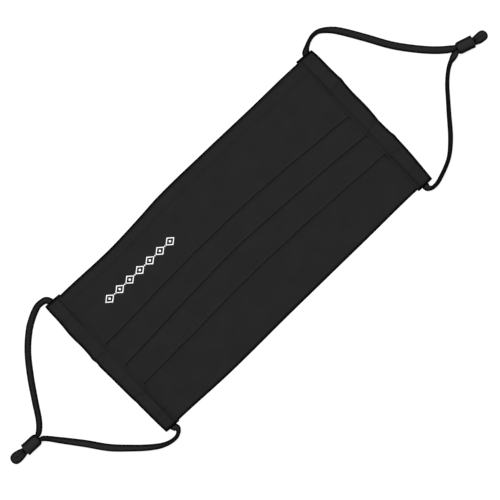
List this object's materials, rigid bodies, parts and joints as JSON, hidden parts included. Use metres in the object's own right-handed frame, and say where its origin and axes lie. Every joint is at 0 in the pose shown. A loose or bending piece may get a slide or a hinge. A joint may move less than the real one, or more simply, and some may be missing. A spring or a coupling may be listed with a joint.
{
  "type": "cloth face mask with adjustable ear loops",
  "caption": "Flat-folded pleated cloth face mask with side casings and flat elastic ear loops, each tightened by a soft cord toggle.",
  "frame": {"origin": "middle of the cloth's outline, on the surface that the mask lies on", "axes": "+X along the mask to its right end, +Y to its upper edge, +Z out of its front"},
  "size_m": [0.329, 0.1034, 0.0065],
  "materials": {
    "panel_cotton": "black plain-woven cotton, matt with a faint bloom",
    "casing_cotton": "the same black cotton, folded and topstitched",
    "elastic": "black knitted flat elastic, matt, ribbed lengthwise",
    "toggle_silicone": "soft black silicone, satin"
  },
  "bodies": {
    "root": {"pleated_panel": "panel_cotton", "side_casing_left": "casing_cotton", "side_casing_right": "casing_cotton", "tunnel_elastic_left": "elastic", "tunnel_elastic_right": "elastic", "ear_loop_left": "elastic", "ear_loop_right": "elastic", "toggle_left": "toggle_silicone", "toggle_right": "toggle_silicone"}
  },
  "joints": []
}
